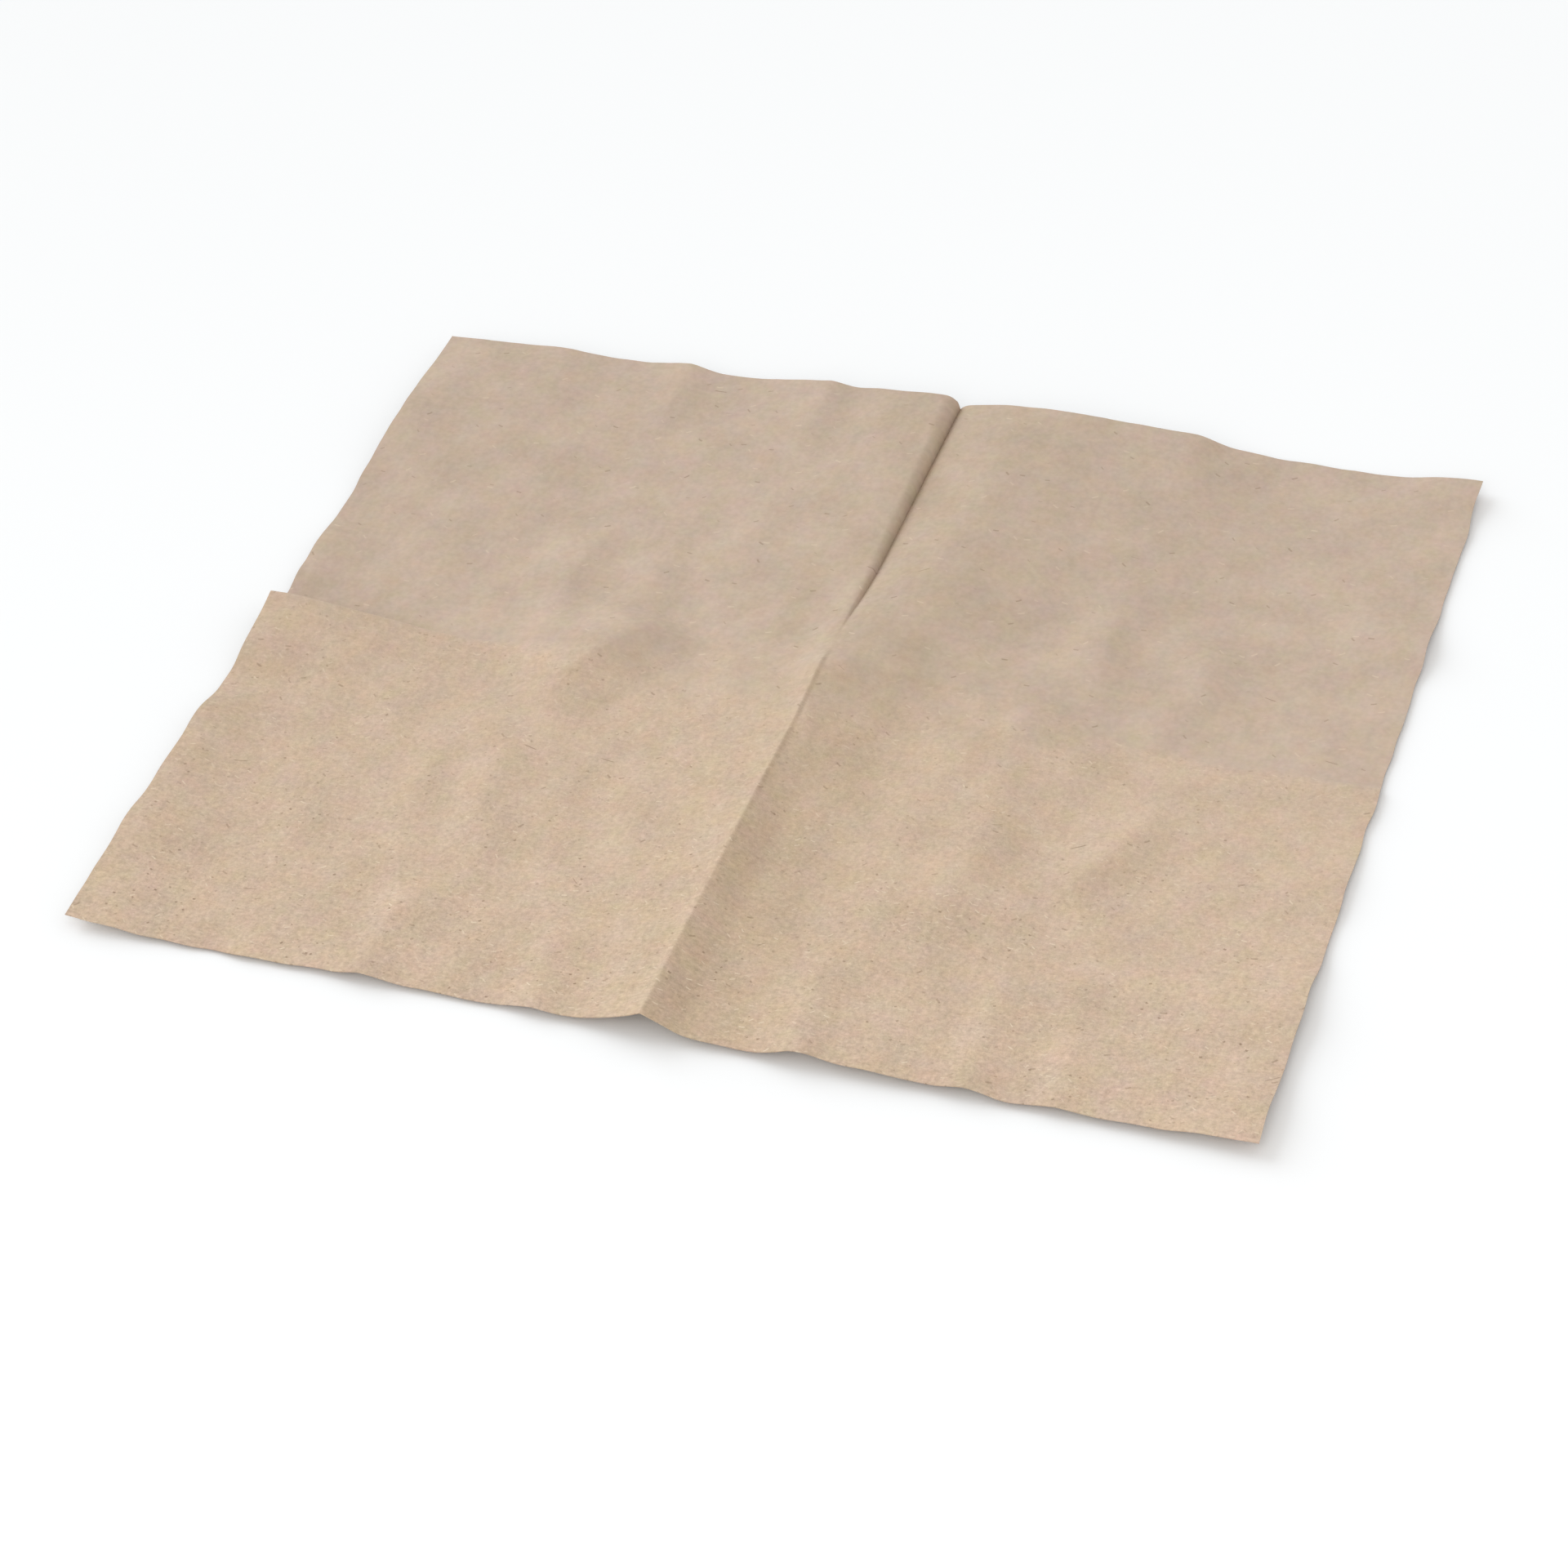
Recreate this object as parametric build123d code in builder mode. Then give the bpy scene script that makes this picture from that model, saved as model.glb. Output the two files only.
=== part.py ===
"""A single-ply kraft paper napkin that was folded in quarters and laid open again.

The napkin is one sheet. Millimetres, +X to the right along the front edge, +Y towards the
back edge and +Z up. The origin is on the table, under the middle of the sheet.

The sheet rests where it is flat. It stands off the table at its two folds and in soft swells,
and every such rise is one line in the lists of driving dimensions.
"""
from build123d import *
from math import exp, hypot
import os

# Driving dimensions of the cut sheet.
sheet_width = 300.0
sheet_depth = 250.0
caliper = 0.25

right_edge = sheet_width / 2
left_edge = -right_edge
back_edge = sheet_depth / 2
front_edge = -back_edge

# The front-to-back crease: a sharp ridge in the front half that turns into a valley behind.
crease_x = 2.9
ridge_height = 6.5
crossing_height = 4.3
crossing_reach_front = 40.0
crossing_reach_behind = 20.0
ridge_reach_left = 10.0
ridge_reach_right = 7.0
ridge_spread = 10.0
ridge_spread_reach = 70.0
valley_share = 0.62
valley_reach_left = 2.5
valley_reach_right = 12.0
valley_start = 12.0
valley_run = 45.0

# The left-to-right fold, at y = 0: high at the left edge, steep behind and gentle in front.
fold_height_left = 6.6
fold_run_left = 42.0
fold_height_right = 0.7
fold_run_right = 20.0
fold_reach_front = 16.0
fold_reach_behind = 3.0

# Soft swells: height, middle x, middle y, reach along x, reach along y.
swells = [
    # The back half lifts towards the back edge.
    (4.9, crease_x + 22.0, back_edge, 38.0, 95.0),
    (2.8, crease_x + 62.0, back_edge, 24.0, 60.0),
    (4.2, crease_x - 18.0, back_edge, 34.0, 90.0),
    (2.2, crease_x - 66.0, back_edge, 24.0, 60.0),
    (4.2, left_edge + 34.0, back_edge, 34.0, 60.0),
    # The cut edges flutter.
    (3.2, left_edge, 84.0, 22.0, 28.0),
    (3.0, left_edge, -50.0, 20.0, 22.0),
    (3.2, left_edge, -104.0, 22.0, 26.0),
    (2.6, right_edge, back_edge, 24.0, 22.0),
    (1.6, right_edge, 56.0, 20.0, 20.0),
    (2.8, right_edge, -98.0, 24.0, 30.0),
    (1.0, crease_x + 118.0, front_edge, 34.0, 26.0),
    (1.4, crease_x + 54.0, front_edge, 24.0, 24.0),
    (0.9, crease_x - 80.0, front_edge, 26.0, 24.0),
    # Broad crumples run from front to back in the panels.
    (4.0, 15.0, 34.0, 15.0, 34.0),
    (1.6, 26.0, 84.0, 18.0, 26.0),
    (2.6, 48.0, -26.0, 20.0, 46.0),
    (1.6, 92.0, -40.0, 20.0, 24.0),
    (1.6, 74.0, 40.0, 20.0, 26.0),
    (4.0, -56.0, 3.0, 20.0, 16.0),
    (2.0, -66.0, -48.0, 16.0, 28.0),
    (1.5, -74.0, 40.0, 20.0, 26.0),
]

# How closely the sections follow the sheet: steps per half, and how far they crowd each fold.
steps_across = 15
steps_deep = 12
crowding_across = 2.0
crowding_deep = 1.7


def bell(distance, reach):
    """A smooth rise: one at its middle, nothing well beyond its reach."""
    return exp(-((distance / reach) ** 2))


def pressed(distance, reach):
    """A pressed fold: one along the fold, with a sharp crest, falling away on both sides."""
    return exp(-abs(distance) / reach)


def ease(share):
    """A smooth step from nothing to one."""
    share = min(max(share, 0.0), 1.0)
    return share * share * (3 - 2 * share)


def rise(x, y):
    """How far the sheet stands off the table at one place."""
    swell = sum(h * bell(x - mx, rx) * bell(y - my, ry) for h, mx, my, rx, ry in swells)

    across = x - crease_x
    valley_reach = valley_reach_left if across < 0 else valley_reach_right
    depth = valley_share * ease((y - valley_start) / valley_run)
    swell *= 1 - depth * pressed(across, valley_reach)

    ridge_reach = ridge_reach_left if across < 0 else ridge_reach_right
    ridge_reach += ridge_spread * bell(y, ridge_spread_reach)
    if y < 0:
        crest = ridge_height + (crossing_height - ridge_height) * bell(y, crossing_reach_front)
    else:
        crest = crossing_height * bell(y, crossing_reach_behind)
    ridge = crest * pressed(across, ridge_reach)

    fold_reach = fold_reach_front if y < 0 else fold_reach_behind
    fold = fold_height_left * bell(x - left_edge, fold_run_left)
    fold += fold_height_right * bell(x - right_edge, fold_run_right)
    return swell + ridge + fold * pressed(y, fold_reach)


def upright_caliper(x, y):
    """The sheet's thickness measured straight up, which grows where the sheet slopes."""
    step = 0.5
    slope_x = (rise(x + step, y) - rise(x - step, y)) / (2 * step)
    slope_y = (rise(x, y + step) - rise(x, y - step)) / (2 * step)
    return caliper * hypot(1.0, slope_x, slope_y)


def crowded(start, end, steps, crowding):
    """Distances from start to end, close together near the start."""
    return [start + (end - start) * (i / steps) ** crowding for i in range(steps + 1)]


left_stations = crowded(crease_x, left_edge, steps_across, crowding_across)[::-1]
right_stations = crowded(crease_x, right_edge, steps_across, crowding_across)
front_depths = crowded(0.0, front_edge, steps_deep, crowding_deep)
rear_depths = crowded(0.0, back_edge, steps_deep, crowding_deep)

with BuildPart() as napkin:
    # Each half of the sheet is carried through thin sections that stand across it, from the
    # left-to-right fold out to an edge. The two halves join along that fold.
    for depths in (front_depths, rear_depths):
        for depth in depths:
            with BuildSketch(Plane.XZ.offset(-depth)):
                with BuildLine():
                    upper = [[(x, caliper + rise(x, depth)) for x in stations]
                             for stations in (left_stations, right_stations)]
                    lower = [[(x, z - upright_caliper(x, depth)) for x, z in line]
                             for line in upper]
                    Spline(*upper[0])
                    Spline(*upper[1])
                    Line(upper[1][-1], lower[1][-1])
                    Spline(*lower[1][::-1])
                    Spline(*lower[0][::-1])
                    Line(lower[0][0], upper[0][0])
                make_face()
        loft()

napkin.part.label = "napkin"
os.makedirs("parts", exist_ok=True)
export_step(napkin.part, "parts/napkin.step")

box = napkin.part.bounding_box()
print("solids", len(napkin.part.solids()), "faces", len(napkin.part.faces()))
print("volume", round(napkin.part.volume, 1), "area", round(napkin.part.area, 1))
print("box", box.min, box.max)
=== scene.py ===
"""A single-ply kraft paper napkin, folded in quarters once and laid open again on a table.

Metres, +X to the right along the front edge, +Y towards the back edge, +Z up, with the origin on
the table under the middle of the sheet. The sheet is one closed surface: a height worked out over
a grid, given its caliper along its own normals, and joined by a rim along the cut edges.
"""
import bpy
import math
import numpy as np
from mathutils import Matrix, Vector


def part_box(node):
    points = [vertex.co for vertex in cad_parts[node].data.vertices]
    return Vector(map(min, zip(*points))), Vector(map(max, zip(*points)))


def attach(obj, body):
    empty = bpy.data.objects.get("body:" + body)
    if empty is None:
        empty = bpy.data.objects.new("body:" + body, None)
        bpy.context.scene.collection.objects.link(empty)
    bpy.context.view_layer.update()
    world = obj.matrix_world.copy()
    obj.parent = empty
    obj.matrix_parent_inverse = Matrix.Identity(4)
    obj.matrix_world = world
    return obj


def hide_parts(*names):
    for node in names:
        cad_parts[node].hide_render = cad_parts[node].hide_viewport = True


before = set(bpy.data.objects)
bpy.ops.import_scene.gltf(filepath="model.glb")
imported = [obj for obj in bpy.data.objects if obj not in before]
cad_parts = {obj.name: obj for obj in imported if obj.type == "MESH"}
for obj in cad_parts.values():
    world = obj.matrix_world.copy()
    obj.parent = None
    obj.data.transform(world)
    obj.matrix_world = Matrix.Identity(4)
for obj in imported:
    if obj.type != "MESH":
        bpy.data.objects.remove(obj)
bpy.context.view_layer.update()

MM = 0.001

# The cut sheet, read from the frame.
low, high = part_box("napkin")
LEFT, FRONT = low.x, low.y
RIGHT, BACK = high.x, high.y
CALIPER = 0.25 * MM

# ---------------------------------------------------------------- the sheet's shape, in metres

# The front-to-back crease: a sharp ridge in the front half that turns into a tight valley behind.
CREASE_X = 2.9 * MM
CREASE_LEAN = 0.008
CREASE_LEAN_REACH = 60 * MM
RIDGE_HEIGHT = 6.5 * MM
RIDGE_RUN = 40 * MM
CROSSING_HEIGHT = 4.3 * MM
CROSSING_RUN = 20 * MM

# The ridge's flanks: a gentle one and a steep one on each side. The gentle left one, whose reach
# is in millimetres, is shorter near the front edge and behind the crossing. The steep ones take a
# share of the height that grows towards the front.
GENTLE_REACH_LEFT = 38
GENTLE_CUT_FRONT, GENTLE_CUT_FRONT_RUN = 16, 36 * MM
GENTLE_CUT_BEHIND, GENTLE_CUT_BEHIND_RUN = 12, 30 * MM
GENTLE_REACH_RIGHT = 28 * MM
STEEP_REACH_LEFT = 7.5 * MM
STEEP_REACH_RIGHT = 8.5 * MM
STEEP_SHARE_LEFT, STEEP_ADDED_LEFT, STEEP_RUN_LEFT = 0.3, 0.3, 40 * MM
STEEP_SHARE_RIGHT, STEEP_ADDED_RIGHT, STEEP_RUN_RIGHT = 0.22, 0.4, 50 * MM
STEEP_START_RIGHT = 12 * MM

# The valley: how deep it cuts, where it starts, and its rolled left side, whose reach is in
# millimetres and is broadest at the back edge.
VALLEY_SHARE = 0.62
VALLEY_START = 12 * MM
VALLEY_RUN = 45 * MM
ROLL_REACH, ROLL_REACH_ADDED, ROLL_RUN = 2.9, 2.1, 24 * MM
ROLL_POWER = 2.6
ROLL_SHARE = 0.65
WALL_REACH = 0.6 * MM
CLIMB_SHARE_NEAR, CLIMB_REACH_NEAR, CLIMB_REACH_FAR = 0.35, 1.2 * MM, 16 * MM

# The small lip along the ridge: its two ends, and its reach to either side.
LIP_HEIGHT = 0.5 * MM
LIP_START, LIP_START_RUN = -80 * MM, 55 * MM
LIP_END, LIP_END_RUN = 14 * MM, 8 * MM
LIP_REACH_LEFT = 3 * MM
LIP_REACH_RIGHT = 0.9 * MM

# The left-to-right fold, at y = 0: high at the left edge, very steep behind and gentle in front.
FOLD_HEIGHT = 6.6 * MM
FOLD_RUN = 42 * MM
FOLD_HEIGHT_RIGHT = 0.7 * MM
FOLD_RUN_RIGHT = 16 * MM
FOLD_REACH_FRONT = 26 * MM
FOLD_REACH_BEHIND = 0.6 * MM
FOLD_REACH_BEHIND_PER_HEIGHT = 0.42

# Fine waviness: height in mm, seed, shortest and longest wave in mm, lean in radians. Most of it
# is pressed out beside the crease.
FINE_RIPPLES = [(0.11, 11, 16, 42, 0.5), (0.05, 12, 7, 14, 1.2), (0.016, 13, 3.2, 6, math.pi)]
FINE_PRESSED = 0.75
FINE_PRESSED_REACH = 5 * MM

# The cut edges wander a little in the sheet's own plane, and the left one bulges in one place.
EDGE_WANDER = 0.22 * MM
EDGE_FADE = 7 * MM
EDGE_WAVES = (11 * MM, 50 * MM, 0.2)
SIDE_EDGE_SEED, END_EDGE_SEED = 21, 22
BULGE = 0.9 * MM
BULGE_Y = -75 * MM
BULGE_RUN = 42 * MM

# The grid: steps to each side of the folds, and the closest spacing, which is at the folds.
STEPS_ACROSS, CLOSEST_ACROSS = 120, 0.3 * MM
STEPS_DEEP, CLOSEST_DEEP = 100, 0.5 * MM
SHARP_ANGLE = math.radians(60)

# The lists below are in millimetres, from the crease and the cut edges.
X0, L, R, F, B = (v / MM for v in (CREASE_X, LEFT, RIGHT, FRONT, BACK))

# Soft swells: height, middle x, middle y, reach along x, reach along y.
SWELLS = [
    # The back half lifts towards the back edge, and each panel sags in its middle.
    (4.9, X0 + 22, B, 38, 95), (2.8, X0 + 62, B, 24, 60), (4.2, X0 - 18, B, 34, 90),
    (2.2, X0 - 66, B, 24, 60), (4.2, L + 34, B, 34, 60), (1.2, L, B, 16, 20),
    (-0.7, -88, -55, 46, 48), (-0.7, 94, -52, 48, 48), (-0.6, 98, 60, 42, 44),
    (-0.6, -92, 44, 42, 40),
    # The cut edges flutter.
    (3.2, L, 84, 18, 26), (1.8, L, 29, 12, 9), (1.2, L, 16, 12, 6), (3.2, L, -48, 14, 15),
    (1.6, L, -67, 14, 10), (3.4, L, -88, 14, 13), (2.8, L, -119, 18, 18), (1.4, L, -18, 14, 9),
    (1.9, R, 56, 16, 9), (2.6, R, B, 20, 14), (1.2, R, -36, 18, 12), (2.7, R, -80, 20, 17),
    (2.8, R, -116, 20, 16), (1.0, X0 + 118, F, 34, 26), (0.7, X0 - 80, F, 24, 16),
    (1.3, X0 + 54, F, 24, 22), (0.8, X0 + 38, F, 5, 10),
]

# Crumples, as lines of straight runs: reach on the left, reach on the right, how blunt the top is,
# then the line's points as x, y, height. Each rises to its line in a straight flank.
CRUMPLES = [
    # Beside the ridge, and along the right-hand panel.
    (11, 27, 8, [(15, -10, 0.0), (12, 8, 2.9), (14, 30, 4.5), (20, 55, 3.8), (27, 84, 1.8),
                 (31, B, 1.6)]),
    (15, 12, 2, [(2, -15, 0.0), (6, -14, 1.1), (16, -13, 1.1), (22, -16, 0.0)]),
    (16, 34, 3, [(46, F, 1.0), (45, -60, 2.2), (46, -20, 2.6), (52, 4, 2.4), (62, 22, 0.9),
                 (70, 50, 0.0)]),
    (7, 9, 1, [(38, F, 1.3), (37, -98, 1.0), (36, -84, 0.0)]),
    (10, 9, 2, [(59, -90, 0.0), (59, -62, 1.5), (60, -40, 1.3), (60, -22, 0.0)]),
    (14, 8, 1, [(82, -62, 0.0), (87, -49, 1.8), (95, -31, 1.8), (100, -18, 0.0)]),
    (8, 8, 1, [(99, -99, 0.0), (97, -86, 1.3), (96, -76, 0.0)]),
    (6, 9, 1, [(81, F, 1.4), (80, -100, 1.1), (80, -86, 0.0)]),
    (5, 8, 1, [(103, F, 0.9), (101, -102, 0.8), (99, -92, 0.0)]),
    (5, 8, 1, [(54, -12, 0.0), (58, 0, 1.0), (62, 14, 0.0)]),
    (13, 9, 1, [(70, 10, 0.0), (71, 38, 1.8), (69, 66, 0.0)]),
    (13, 8, 1, [(98, 4, 0.0), (98, 30, 1.6), (93, 58, 0.0)]),
    (14, 8, 1, [(71, 82, 0.0), (72, B, 1.4)]),
    # Along the left-hand panel.
    (36, 15, 1, [(-70, -20, 0.0), (-62, -9, 4.0), (-55, 3, 5.6), (-50, 13, 4.0), (-46, 22, 0.0)]),
    (10, 20, 3, [(-56, -82, 0.0), (-62, -68, 1.5), (-66, -50, 2.0), (-71, -32, 1.8),
                 (-77, -14, 0.0)]),
    (7, 7, 1, [(-80, -68, 0.0), (-84, -54, 1.0), (-88, -40, 0.0)]),
    (8, 7, 2, [(-46, -62, 0.0), (-45, -40, 0.9), (-48, -18, 0.0)]),
    (7, 9, 1, [(-26, F, 1.5), (-29, -104, 1.1), (-31, -80, 0.0)]),
    (6, 12, 1, [(-71, F, 1.4), (-71, -100, 1.1), (-70, -80, 0.0)]),
    (14, 8, 1, [(-76, 12, 0.0), (-77, 36, 1.6), (-74, 62, 0.0)]),
    (12, 8, 1, [(-56, 22, 0.0), (-55, 40, 1.5), (-52, 60, 0.0)]),
    (18, 8, 1, [(-76, 84, 0.0), (-76, B, 2.0)]),
    (18, 8, 1, [(-35, 84, 0.0), (-34, B, 2.1)]),
]


def bell(distance, reach):
    """A smooth rise, exp(-(d/r)^2): one at its middle, nothing well beyond its reach."""
    return np.exp(-((distance / reach) ** 2))


def flank(distance, reach, blunt=0.3 * MM):
    """A straight flank: one at its line, falling evenly to a soft foot at the reach. With
    s = 1 - (sqrt(d^2 + b^2) - b) / r it is (s + sqrt(s^2 + 0.03)) / 2."""
    fall = 1 - (np.hypot(distance, blunt) - blunt) / reach
    return (fall + np.sqrt(fall * fall + 0.03)) / 2


def ease(share):
    """A smooth step from nothing to one: 3s^2 - 2s^3."""
    share = np.clip(share, 0, 1)
    return share * share * (3 - 2 * share)


def swells(x, y):
    """The broad rises of the sheet, added up."""
    return sum(
        h * MM * bell(x - mx * MM, rx * MM) * bell(y - my * MM, ry * MM)
        for h, mx, my, rx, ry in SWELLS
    )


def crumple(x, y, reach_left, reach_right, blunt, points):
    """One line of straight runs: each place takes its height from the nearest point of the line,
    times a straight flank of its side's reach."""
    nearest = np.full(x.shape, np.inf)
    total = np.zeros_like(x)
    for (ax, ay, ah), (bx, by, bh) in zip(points, points[1:]):
        ax, ay, ah, bx, by, bh = (v * MM for v in (ax, ay, ah, bx, by, bh))
        run_x, run_y = bx - ax, by - ay
        share = ((x - ax) * run_x + (y - ay) * run_y) / (run_x ** 2 + run_y ** 2)
        share = np.clip(share, 0, 1)
        away = np.hypot(x - ax - share * run_x, y - ay - share * run_y)
        on_right = (x - ax) * run_y - (y - ay) * run_x > 0
        reach = np.where(on_right, reach_right, reach_left) * MM
        height = (ah + share * (bh - ah)) * flank(away, reach, blunt * MM)
        total = np.where(away < nearest, height, total)
        nearest = np.minimum(away, nearest)
    return total


def cusp(distance, reach, blunt=0.3 * MM):
    """A sharp crest with hollow flanks: exp(-(sqrt(d^2 + b^2) - b) / r)."""
    return np.exp(-(np.hypot(distance, blunt) - blunt) / reach)


def beside_crease(x, y):
    """Distance to the right of the crease, which leans a little across the sheet."""
    return x - CREASE_X - CREASE_LEAN * y


def crease(x, y):
    """The front-to-back crease. In front, a sharp crest whose flanks are a steep share near the
    line, growing towards the front edge, and a gentle one beyond. Behind, the crest sinks away."""
    across = beside_crease(x, y)
    left = across < 0
    front = RIDGE_HEIGHT + (CROSSING_HEIGHT - RIDGE_HEIGHT) * bell(y, RIDGE_RUN)
    crest = np.where(y < 0, front, CROSSING_HEIGHT * bell(y, CROSSING_RUN))
    cut_front = GENTLE_CUT_FRONT * bell(y - FRONT, GENTLE_CUT_FRONT_RUN)
    cut_behind = GENTLE_CUT_BEHIND * ease(y / GENTLE_CUT_BEHIND_RUN)
    gentle_left = (GENTLE_REACH_LEFT - cut_front - cut_behind) * MM
    gentle = flank(across, np.where(left, gentle_left, GENTLE_REACH_RIGHT))
    steep = np.where(left, cusp(across, STEEP_REACH_LEFT), flank(across, STEEP_REACH_RIGHT))
    share_left = STEEP_SHARE_LEFT + STEEP_ADDED_LEFT * bell(y - FRONT, STEEP_RUN_LEFT)
    forward = ease((-y - STEEP_START_RIGHT) / STEEP_RUN_RIGHT)
    share_right = STEEP_SHARE_RIGHT + STEEP_ADDED_RIGHT * forward
    share = np.where(left, share_left, share_right)
    return crest * (share * steep + (1 - share) * gentle)


def valley(x, y):
    """How much of the swells is left beside the crease: all of it in front. Behind it, the left
    side rolls over, most broadly at the back edge, and then drops in a wall, and the right side
    climbs out more gently."""
    across = beside_crease(x, y)
    away = np.abs(across)
    depth = VALLEY_SHARE * ease((y - VALLEY_START) / VALLEY_RUN)
    roll_reach = (ROLL_REACH + ROLL_REACH_ADDED * bell(y - BACK, ROLL_RUN)) * MM
    roll = np.clip(1 - away / roll_reach, 0, 1) ** ROLL_POWER
    wall = np.clip(1 - away / WALL_REACH, 0, 1)
    drop = ROLL_SHARE * roll + (1 - ROLL_SHARE) * wall
    near, far = cusp(away, CLIMB_REACH_NEAR), cusp(away, CLIMB_REACH_FAR)
    climb = CLIMB_SHARE_NEAR * near + (1 - CLIMB_SHARE_NEAR) * far
    return 1 - depth * np.where(across < 0, drop, climb)


def crest_lip(x, y):
    """A small lip pressed up along the ridge from the crossing forwards: hollow on its left, and
    dropping at once on its right."""
    across = beside_crease(x, y)
    along = ease((y - LIP_START) / LIP_START_RUN) * ease((LIP_END - y) / LIP_END_RUN)
    drop = np.clip(1 - across / LIP_REACH_RIGHT, 0, 1)
    return LIP_HEIGHT * along * np.where(across < 0, cusp(across, LIP_REACH_LEFT), drop)


def cross_fold(x, y):
    """The left-to-right fold: a crest along y = 0 that dies away from the left edge, with a long
    flank in front and one behind that is always steep, about as long as half its height."""
    crest = FOLD_HEIGHT * bell(x - LEFT, FOLD_RUN)
    crest = crest + FOLD_HEIGHT_RIGHT * bell(x - RIGHT, FOLD_RUN_RIGHT)
    behind = FOLD_REACH_BEHIND + FOLD_REACH_BEHIND_PER_HEIGHT * crest
    return crest * flank(y, np.where(y < 0, FOLD_REACH_FRONT, behind))


def ripples(x, y, seed, shortest, longest, lean, count=48):
    """Fine waviness of about unit size: the sum of plane waves with seeded directions, lengths
    and phases. The lean, in radians, is how far a wave's direction may leave the X axis."""
    random = np.random.default_rng(seed)
    length = random.uniform(shortest, longest, count)
    heading = random.uniform(-lean, lean, count)
    phase = random.uniform(0, 2 * math.pi, count)
    total = np.zeros_like(x)
    for wave, angle, start in zip(length, heading, phase):
        total += np.sin(2 * math.pi * (x * math.cos(angle) + y * math.sin(angle)) / wave + start)
    return total / math.sqrt(count)


def height_at(x, y):
    """The middle surface's height before it is set down on the table."""
    z = swells(x, y) + sum(crumple(x, y, *line) for line in CRUMPLES)
    z = z * valley(x, y) + crease(x, y) + crest_lip(x, y) + cross_fold(x, y)
    fine = sum(
        size * MM * ripples(x, y, seed, shortest * MM, longest * MM, lean)
        for size, seed, shortest, longest, lean in FINE_RIPPLES
    )
    return z + fine * (1 - FINE_PRESSED * bell(beside_crease(x, y), FINE_PRESSED_REACH))


def crowded(start, end, closest, steps):
    """Distances from start to end whose spacing grows evenly from the closest."""
    i = np.arange(steps + 1)
    span = abs(end - start)
    growth = (span - closest * steps) / (steps * (steps - 1) / 2)
    return start + math.copysign(1, end - start) * (closest * i + growth * i * (i - 1) / 2)


def grid_lines(edge_low, middle, edge_high, closest, steps):
    """Grid positions from one cut edge to the other, crowded at the fold between them."""
    lower = crowded(middle, edge_low, closest, steps)[::-1]
    upper = crowded(middle, edge_high, closest, steps)
    return np.concatenate([lower, upper[1:]])


def cut_edge_wander(x, y):
    """In-plane shift of the cut edges: seeded waves along each edge, fading within a few
    millimetres of it, so that the cut is not quite straight, and a slight bulge on the left."""
    near_side = bell(x - LEFT, EDGE_FADE) + bell(x - RIGHT, EDGE_FADE)
    near_end = bell(y - BACK, EDGE_FADE) + bell(y - FRONT, EDGE_FADE)
    bulge = BULGE * bell(x - LEFT, EDGE_FADE) * bell(y - BULGE_Y, BULGE_RUN)
    shift_x = EDGE_WANDER * near_side * ripples(y, x, SIDE_EDGE_SEED, *EDGE_WAVES) - bulge
    shift_y = EDGE_WANDER * near_end * ripples(x, y, END_EDGE_SEED, *EDGE_WAVES)
    return shift_x, shift_y


def sheet_normals(x, y, z):
    """Unit normals of the grid: the cross product of its steps along the rows and columns."""
    place = np.stack([x, y, z], -1)
    along_y, along_x = np.gradient(place, axis=(0, 1))
    normal = np.cross(along_x, along_y)
    return normal / np.linalg.norm(normal, axis=-1, keepdims=True)


def sheet_mesh(name):
    """The closed sheet: the middle surface moved half a caliper each way along its normals, and
    a rim of quads that joins the two layers along the four cut edges."""
    xs = grid_lines(LEFT, CREASE_X, RIGHT, CLOSEST_ACROSS, STEPS_ACROSS)
    ys = grid_lines(FRONT, 0.0, BACK, CLOSEST_DEEP, STEPS_DEEP)
    x, y = np.meshgrid(xs, ys)
    x = x + CREASE_LEAN * y * bell(x - CREASE_X, CREASE_LEAN_REACH)
    z = height_at(x, y)
    normal = sheet_normals(x, y, z)
    shift_x, shift_y = cut_edge_wander(x, y)
    middle = np.stack([x + shift_x, y + shift_y, z], -1)
    upper = middle + normal * CALIPER / 2
    lower = middle - normal * CALIPER / 2
    set_down = -lower[..., 2].min()
    points = np.concatenate([upper.reshape(-1, 3), lower.reshape(-1, 3)])
    points[:, 2] += set_down

    rows, columns = x.shape
    index = np.arange(rows * columns).reshape(rows, columns)
    under = index + rows * columns
    top = np.stack([index[:-1, :-1], index[:-1, 1:], index[1:, 1:], index[1:, :-1]], -1)
    bottom = np.stack([under[:-1, :-1], under[1:, :-1], under[1:, 1:], under[:-1, 1:]], -1)
    ring = np.concatenate([index[0, :-1], index[:-1, -1], index[-1, :0:-1], index[:0:-1, 0]])
    onward = np.roll(ring, -1)
    rim = np.stack([ring, ring + rows * columns, onward + rows * columns, onward], -1)
    quads = np.concatenate([top.reshape(-1, 4), bottom.reshape(-1, 4), rim])

    mesh = bpy.data.meshes.new(name)
    mesh.vertices.add(len(points))
    mesh.vertices.foreach_set("co", points.astype(np.float32).ravel())
    mesh.loops.add(quads.size)
    mesh.loops.foreach_set("vertex_index", quads.astype(np.int32).ravel())
    mesh.polygons.add(len(quads))
    mesh.polygons.foreach_set("loop_start", np.arange(0, quads.size, 4, dtype=np.int32))
    mesh.update(calc_edges=True)
    mesh.validate()
    smooth = np.ones(len(quads), bool)
    smooth[-len(rim):] = False
    mesh.polygons.foreach_set("use_smooth", smooth)
    mesh.set_sharp_from_angle(angle=SHARP_ANGLE)

    flat = np.concatenate([np.stack([x, y], -1).reshape(-1, 2)] * 2) / MM
    layer = mesh.uv_layers.new(name="sheet_mm")
    layer.uv.foreach_set("vector", flat[quads.ravel()].astype(np.float32).ravel())
    return mesh


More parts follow.
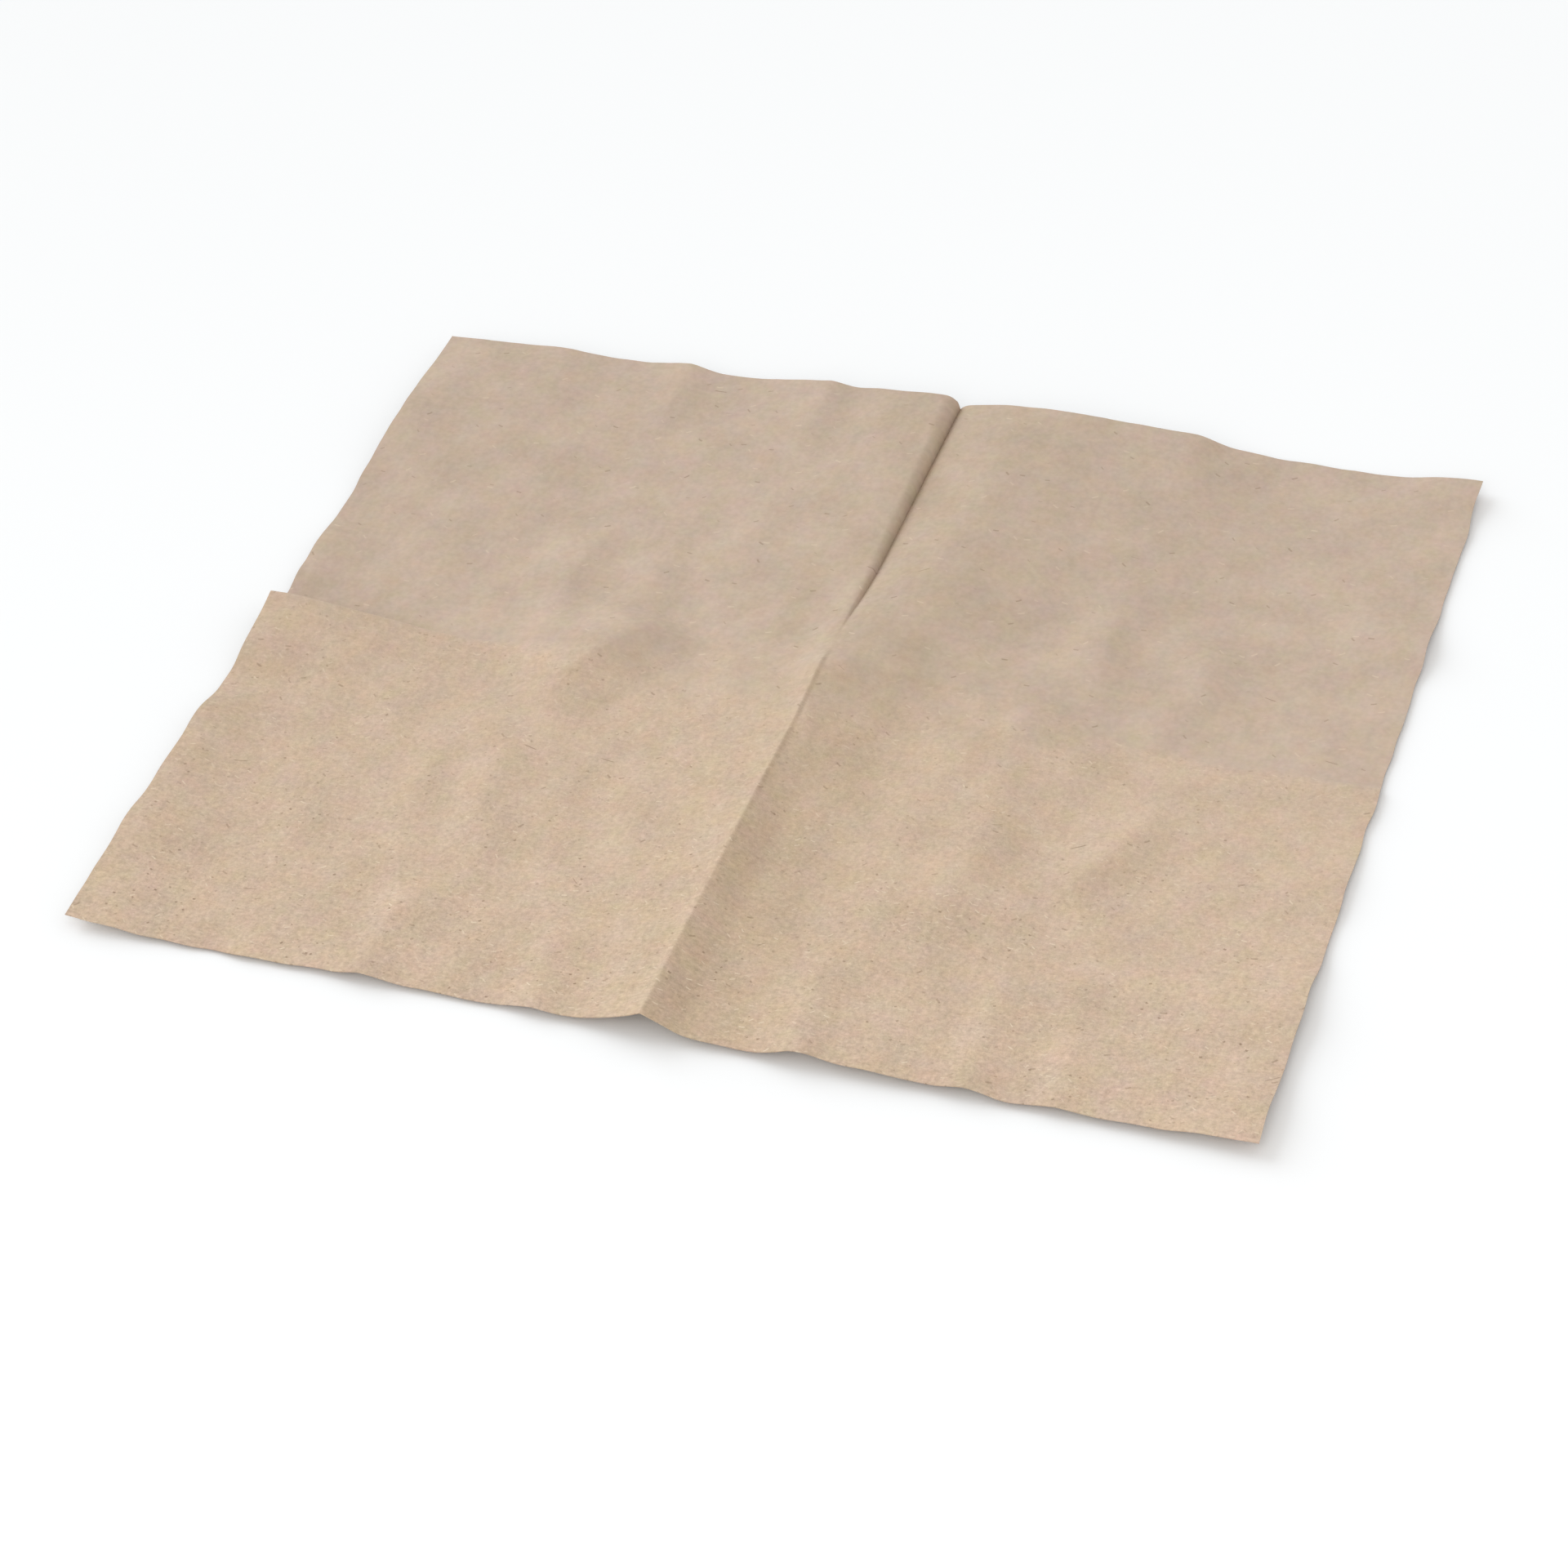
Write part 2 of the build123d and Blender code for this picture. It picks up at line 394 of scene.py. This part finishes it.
# ---------------------------------------------------------------- the paper's look


class Nodes:
    """A small helper that adds nodes to a tree and links sockets by name."""

    def __init__(self, tree):
        self.tree = tree

    def add(self, kind, links=None, **settings):
        node = self.tree.nodes.new(kind)
        for key, value in settings.items():
            setattr(node, key, value)
        for socket, value in (links or {}).items():
            target = node.inputs[socket]
            if isinstance(value, bpy.types.NodeSocket):
                self.tree.links.new(value, target)
            else:
                target.default_value = value
        return node

    def math(self, operation, *values):
        node = self.add("ShaderNodeMath", dict(enumerate(values)), operation=operation)
        return node.outputs[0]

    def vector(self, operation, *values):
        node = self.add("ShaderNodeVectorMath", dict(enumerate(values)), operation=operation)
        return node.outputs["Vector"]

    def remap(self, value, low_in, high_in, low_out, high_out):
        node = self.add("ShaderNodeMapRange", {
            "Value": value, "From Min": low_in, "From Max": high_in,
            "To Min": low_out, "To Max": high_out,
        }, clamp=True)
        return node.outputs["Result"]

    def noise(self, where, scale, detail, roughness=0.5):
        node = self.add("ShaderNodeTexNoise", {
            "Vector": where, "Scale": scale, "Detail": detail, "Roughness": roughness,
        }, noise_dimensions="2D")
        return node.outputs["Fac"]


def new_group(name, inputs, outputs):
    """An empty shader node group with named sockets, and its input and output nodes."""
    group = bpy.data.node_groups.new(name, "ShaderNodeTree")
    for label, kind, value in inputs:
        socket = group.interface.new_socket(label, in_out="INPUT", socket_type=kind)
        if value is not None:
            socket.default_value = value
    for label, kind in outputs:
        group.interface.new_socket(label, in_out="OUTPUT", socket_type=kind)
    nodes = Nodes(group)
    return group, nodes, nodes.add("NodeGroupInput"), nodes.add("NodeGroupOutput")


def fleck_group():
    """Scattered short fibres: every cell of a Voronoi pattern may hold one straight fleck, turned
    at random about the cell's point. The mask is one on a fleck and falls off at its sides."""
    group, n, given, result = new_group(
        "tissue_flecks",
        [("Where", "NodeSocketVector", None), ("Cell", "NodeSocketFloat", 4.0),
         ("Length", "NodeSocketFloat", 1.0), ("Width", "NodeSocketFloat", 0.2),
         ("Share", "NodeSocketFloat", 0.3)],
        [("Mask", "NodeSocketFloat")],
    )
    scale = n.math("DIVIDE", 1.0, given.outputs["Cell"])
    cells = n.add("ShaderNodeTexVoronoi", {
        "Vector": given.outputs["Where"], "Scale": scale, "Randomness": 1.0,
    }, voronoi_dimensions="2D", feature="F1")
    away = n.vector("SUBTRACT", given.outputs["Where"], cells.outputs["Position"])
    chance = n.add("ShaderNodeSeparateColor", {"Color": cells.outputs["Color"]})
    turn = n.math("MULTIPLY_ADD", chance.outputs["Red"], 1.8, -0.9)
    turned = n.add("ShaderNodeVectorRotate", {"Vector": away, "Angle": turn},
                   rotation_type="Z_AXIS")
    part = n.add("ShaderNodeSeparateXYZ", {"Vector": turned.outputs["Vector"]})
    size = n.remap(chance.outputs["Blue"], 0.0, 1.0, 0.5, 1.15)
    length = n.math("MULTIPLY", given.outputs["Length"], size)
    width = n.math("MULTIPLY", given.outputs["Width"], size)
    along = n.math("DIVIDE", n.math("ABSOLUTE", part.outputs["X"]), length)
    bow = n.math("MULTIPLY", n.math("MULTIPLY", along, along), width)
    across = n.math("DIVIDE", n.math("ABSOLUTE", n.math("SUBTRACT", part.outputs["Y"], bow)), width)
    body = n.remap(across, 0.5, 1.0, 1.0, 0.0)
    ends = n.remap(along, 0.35, 0.5, 1.0, 0.0)
    drawn = n.math("LESS_THAN", chance.outputs["Green"], given.outputs["Share"])
    strength = n.remap(chance.outputs["Blue"], 0.0, 1.0, 0.4, 1.0)
    mask = n.math("MULTIPLY", n.math("MULTIPLY", body, ends), n.math("MULTIPLY", drawn, strength))
    n.tree.links.new(mask, result.inputs["Mask"])
    return group


def mottle_group():
    """Cloudy unevenness of unbleached pulp. Tone wanders about one, coarse everywhere and fine by
    the grain strength. Hue and warmth wander about nothing: pink to green, and tan to grey."""
    group, n, given, result = new_group(
        "pulp_mottle",
        [("Where", "NodeSocketVector", None), ("Grain", "NodeSocketFloat", 1.0)],
        [("Tone", "NodeSocketFloat"), ("Hue", "NodeSocketFloat"), ("Warmth", "NodeSocketFloat")],
    )
    where, grain = given.outputs["Where"], given.outputs["Grain"]

    def wander(place, scale, detail, roughness, size):
        return n.remap(n.noise(place, scale, detail, roughness), 0.25, 0.75, -size, size)

    aside = n.vector("ADD", where, (310.0, 170.0, 0.0))
    beyond = n.vector("ADD", where, (-210.0, 430.0, 0.0))
    coarse = n.math("ADD", wander(where, 0.06, 4.0, 0.6, 0.065),
                    wander(aside, 0.5, 1.0, 0.7, 0.045))
    streaks = n.add("ShaderNodeMapping", {"Vector": beyond, "Scale": (0.7, 1.7, 1.0)})
    fine = n.math("ADD", wander(where, 0.75, 4.0, 0.8, 0.13),
                  wander(streaks.outputs["Vector"], 0.9, 2.0, 0.6, 0.07))
    tone = n.math("ADD", n.math("MULTIPLY_ADD", fine, grain, coarse), 1.0)
    n.tree.links.new(tone, result.inputs["Tone"])
    n.tree.links.new(wander(aside, 0.14, 4.0, 0.6, 1.0), result.inputs["Hue"])
    n.tree.links.new(wander(beyond, 0.11, 6.0, 0.7, 1.0), result.inputs["Warmth"])
    return group


def crepe_group():
    """Relief of the creped sheet, nought to one: fine pebbled grain, short cross-wise crepe
    wrinkles from noise squeezed along Y, and a lift where fibres lie on top."""
    group, n, given, result = new_group(
        "crepe_relief",
        [("Where", "NodeSocketVector", None), ("Fibres", "NodeSocketFloat", 0.0)],
        [("Height", "NodeSocketFloat")],
    )
    where = given.outputs["Where"]
    pebble = n.noise(where, 1.15, 3.0, 0.65)
    squeeze = n.add("ShaderNodeMapping", {"Vector": where, "Scale": (0.45, 1.5, 1.0)})
    wrinkle = n.noise(squeeze.outputs["Vector"], 0.8, 2.0, 0.5)
    both = n.math("MULTIPLY_ADD", wrinkle, 0.6, n.math("MULTIPLY", pebble, 0.9))
    height = n.math("MULTIPLY_ADD", given.outputs["Fibres"], 0.12, both)
    n.tree.links.new(height, result.inputs["Height"])
    return group


# The band of painted shade along the crease, where the sheet is painted darker: its middle, and
# where it starts to fade and ends to either side, in millimetres.
SHADE_BAND_MIDDLE_X = X0 + 8
SHADE_BAND_REACH = (8.0, 45.0)

# The paper's colour twice, with painted light: lighter and warmer for the lit front half, darker
# and greyer for the shaded back half.
PAPER_LIT_FRONT = (0.547, 0.42, 0.319, 1.0)
PAPER_SHADED_BACK = (0.492, 0.389, 0.313, 1.0)
TINT_PINK = (1.025, 0.978, 1.0, 1.0)
TINT_GREEN = (0.975, 1.022, 0.99, 1.0)
TINT_TAN = (1.0, 1.0, 0.93, 1.0)
TINT_GREY = (1.0, 1.0, 1.07, 1.0)
SPECK_DARK = (0.2, 0.13, 0.085, 1.0)
FIBRE_PALE = (0.7, 0.58, 0.45, 1.0)


def paper_material():
    """Unbleached tissue: mottled brown pulp with dark specks, pale fibres and a few dark hairs,
    matt and creped. The back half is smoother than the front half. Light and shade are painted
    in too: the front half lighter and warmer, the back half darker and greyer, and a band along
    the crease darker and tanner."""
    flecks, mottle, crepe = fleck_group(), mottle_group(), crepe_group()
    material = bpy.data.materials.new("kraft_tissue")
    material.use_nodes = True
    n = Nodes(material.node_tree)
    n.tree.nodes.clear()
    where = n.add("ShaderNodeUVMap", uv_map="sheet_mm").outputs["UV"]

    def fibres(cell, length, width, share, offset):
        moved = n.vector("ADD", where, offset)
        node = n.add("ShaderNodeGroup", node_tree=flecks)
        n.tree.links.new(moved, node.inputs["Where"])
        sizes = {"Cell": cell, "Length": length, "Width": width, "Share": share}
        for label, value in sizes.items():
            node.inputs[label].default_value = value
        return node.outputs["Mask"]

    def mix(share, first, second, blend="MIX"):
        node = n.add("ShaderNodeMix", {0: share, 6: first, 7: second},
                     data_type="RGBA", blend_type=blend)
        return node.outputs[2]

    place = n.add("ShaderNodeSeparateXYZ", {"Vector": where})
    along = place.outputs["Y"]
    off_crease = n.math("ABSOLUTE", n.math("SUBTRACT", place.outputs["X"], SHADE_BAND_MIDDLE_X))

    # How far a place belongs to the front half: a step at the cross fold on a gentle ramp. The
    # step is crisp towards the sides and blurred in the middle of the sheet. This share paints
    # light
    # and shade: the front half lighter and warmer than the back half, and the ramp paints light
    # that falls off towards the back. The step and the nearness to the front also set the grain.
    blur = n.remap(off_crease, 40.0, 90.0, 14.0, 1.5)
    stray = n.math("MULTIPLY_ADD", n.noise(where, 0.09, 4.0), 3.0, -1.5)
    beyond = n.math("DIVIDE", n.math("ADD", along, n.math("MULTIPLY", stray, blur)), blur)
    step = n.remap(beyond, 1.0, -1.0, 0.0, 1.0)
    ramp = n.remap(along, B, F, 0.0, 1.0)
    forward = n.math("MULTIPLY_ADD", step, 0.7, n.math("MULTIPLY", ramp, 0.3))
    nearness = n.remap(along, 0.0, F, 0.0, 0.55)
    grain = n.math("ADD", n.math("MULTIPLY_ADD", step, 0.5, 0.1), nearness)

    # Painted shade: the sheet is painted a touch darker and tanner in a band along the
    # front-to-back crease, for the shade on the crease's flanks.
    crease_shade = n.remap(off_crease, *SHADE_BAND_REACH, 0.962, 1.0)
    crease_shade_tan = n.remap(off_crease, *SHADE_BAND_REACH, 0.4, 0.0)

    # Each kind of fleck: cell, length and width in millimetres, the share of cells that hold one,
    # and how far its pattern is moved.
    specks = fibres(2.2, 0.75, 0.3, 0.22, (0.0, 0.0, 0.0))
    pale = fibres(2.3, 1.5, 0.2, 0.34, (41.0, 17.0, 0.0))
    dashes = fibres(8.0, 1.7, 0.3, 0.4, (53.0, -29.0, 0.0))
    pale_dashes = fibres(7.0, 1.9, 0.3, 0.45, (-37.0, 71.0, 0.0))
    hairs = fibres(22.0, 4.2, 0.2, 0.13, (97.0, 61.0, 0.0))

    # The small flecks gather in loose clumps, more of them in the front half.
    clumps = n.remap(n.noise(where, 0.05, 3.0, 0.6), 0.38, 0.62, 0.35, 1.3)
    fleck_strength = n.math("MULTIPLY", grain, clumps)

    cloth = n.add("ShaderNodeGroup", {"Where": where, "Grain": grain}, node_tree=mottle)
    hue, warmth = cloth.outputs["Hue"], cloth.outputs["Warmth"]
    # Painted light and shade: the shaded back colour blends into the lit front colour.
    colour = mix(forward, PAPER_SHADED_BACK, PAPER_LIT_FRONT)
    colour = mix(hue, colour, TINT_PINK, "MULTIPLY")
    colour = mix(n.math("MULTIPLY", hue, -1.0), colour, TINT_GREEN, "MULTIPLY")
    colour = mix(warmth, colour, TINT_TAN, "MULTIPLY")
    colour = mix(n.math("MULTIPLY", warmth, -1.0), colour, TINT_GREY, "MULTIPLY")
    # Painted shade along the crease: first tanner, then darker with the pulp's tone.
    colour = mix(crease_shade_tan, colour, TINT_TAN, "MULTIPLY")
    shade = n.math("MULTIPLY", cloth.outputs["Tone"], crease_shade)
    tone = n.add("ShaderNodeCombineColor", {i: shade for i in range(3)})
    colour = mix(1.0, colour, tone.outputs["Color"], "MULTIPLY")
    pale_share = n.math("MULTIPLY", fleck_strength, 0.68)
    colour = mix(n.math("MULTIPLY", pale, pale_share), colour, FIBRE_PALE)
    speck_share = n.math("MULTIPLY", fleck_strength, 0.5)
    colour = mix(n.math("MULTIPLY", specks, speck_share), colour, SPECK_DARK)
    colour = mix(n.math("MULTIPLY", pale_dashes, 0.35), colour, FIBRE_PALE)
    colour = mix(n.math("MULTIPLY", dashes, 0.42), colour, SPECK_DARK)
    colour = mix(n.math("MULTIPLY", hairs, 0.6), colour, SPECK_DARK)

    relief = n.add("ShaderNodeGroup", {"Where": where, "Fibres": pale}, node_tree=crepe)
    bump = n.add("ShaderNodeBump", {
        "Strength": 1.0, "Distance": 0.16 * MM,
        "Height": n.math("MULTIPLY", relief.outputs["Height"], grain),
    })
    rough = n.remap(cloth.outputs["Tone"], 0.95, 1.05, 0.98, 0.9)
    shader = n.add("ShaderNodeBsdfPrincipled", {
        "Base Color": colour, "Roughness": rough, "Normal": bump.outputs["Normal"],
        "Specular IOR Level": 0.15,
    })
    n.add("ShaderNodeOutputMaterial", {"Surface": shader.outputs["BSDF"]})
    return material


def make_napkin():
    napkin = bpy.data.objects.new("napkin_sheet", sheet_mesh("napkin_sheet"))
    bpy.context.scene.collection.objects.link(napkin)
    napkin.data.materials.append(paper_material())
    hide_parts("napkin")
    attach(napkin, "root")


# ---------------------------------------------------------------- floor, light and camera


FLOOR_COLOUR = (0.872, 0.886, 0.915, 1.0)
FLOOR_HALF = 4.0

DOME_COLOUR = (1.0, 0.978, 0.935, 1.0)
DOME_STRENGTH = 0.82
KEY_FROM = (-1.0, 0.5, 0.5)
KEY_COLOUR = (0.9, 0.965, 1.0)
KEY_ENERGY = 1.89
KEY_ANGLE = math.radians(45)
FILL_FROM = (0.1, -0.95, 0.8)
FILL_COLOUR = (1.0, 0.96, 0.9)
FILL_ENERGY = 2.6
FILL_SIZE = 0.8

CAMERA_TURN = (22.72, 41.37, -5.76)
CAMERA_PLACE = (0.29369, -0.7207, 0.65729)
CAMERA_LENS = 90.88
CAMERA_SENSOR = 36.0


def floor_material():
    """Matt and pale, with no gloss."""
    material = bpy.data.materials.new("pale_floor")
    material.use_nodes = True
    shader = material.node_tree.nodes["Principled BSDF"]
    shader.inputs["Base Color"].default_value = FLOOR_COLOUR
    shader.inputs["Roughness"].default_value = 1.0
    shader.inputs["Specular IOR Level"].default_value = 0.0
    return material


def make_floor():
    """A wide flat floor at z = 0."""
    half = FLOOR_HALF
    mesh = bpy.data.meshes.new("floor")
    corners = [(-half, -half, 0), (half, -half, 0), (half, half, 0), (-half, half, 0)]
    mesh.from_pydata(corners, [], [(0, 1, 2, 3)])
    floor = bpy.data.objects.new("floor", mesh)
    bpy.context.scene.collection.objects.link(floor)
    mesh.materials.append(floor_material())


def make_lamp(name, kind, place, colour, **settings):
    """A lamp that points at the middle of the sheet."""
    light = bpy.data.lights.new(name, kind)
    light.color = colour
    for key, value in settings.items():
        setattr(light, key, value)
    lamp = bpy.data.objects.new(name, light)
    bpy.context.scene.collection.objects.link(lamp)
    lamp.location = place
    lamp.rotation_euler = (-Vector(place)).to_track_quat("-Z", "Y").to_euler()


def make_light():
    """A faintly warm dome, a very soft cool key from the back left, and a warm fill in front."""
    world = bpy.data.worlds.new("studio")
    bpy.context.scene.world = world
    world.use_nodes = True
    background = world.node_tree.nodes["Background"]
    background.inputs["Color"].default_value = DOME_COLOUR
    background.inputs["Strength"].default_value = DOME_STRENGTH
    make_lamp("key", "SUN", KEY_FROM, KEY_COLOUR, energy=KEY_ENERGY, angle=KEY_ANGLE)
    make_lamp("fill", "AREA", FILL_FROM, FILL_COLOUR,
              energy=FILL_ENERGY, shape="DISK", size=FILL_SIZE)


def make_camera():
    """The camera looks down on the sheet from the front right, turned about its own axis. Its turn
    is azimuth, elevation and roll, in degrees."""
    azimuth, elevation, roll = (math.radians(a) for a in CAMERA_TURN)
    forward = Vector((-math.sin(azimuth) * math.cos(elevation),
                      math.cos(azimuth) * math.cos(elevation), -math.sin(elevation)))
    side = forward.cross(Vector((0, 0, 1))).normalized()
    up = side.cross(forward)
    turned_side = math.cos(roll) * side + math.sin(roll) * up
    turned_up = math.cos(roll) * up - math.sin(roll) * side
    camera = bpy.data.cameras.new("camera")
    camera.sensor_width = CAMERA_SENSOR
    camera.lens = CAMERA_LENS
    camera.clip_start = 0.01
    holder = bpy.data.objects.new("camera", camera)
    bpy.context.scene.collection.objects.link(holder)
    axes = Matrix((turned_side, turned_up, -forward)).transposed().to_4x4()
    holder.matrix_world = Matrix.Translation(CAMERA_PLACE) @ axes
    bpy.context.scene.camera = holder


make_camera()
make_napkin()
make_floor()
make_light()
bpy.context.scene.view_settings.view_transform = "Standard"
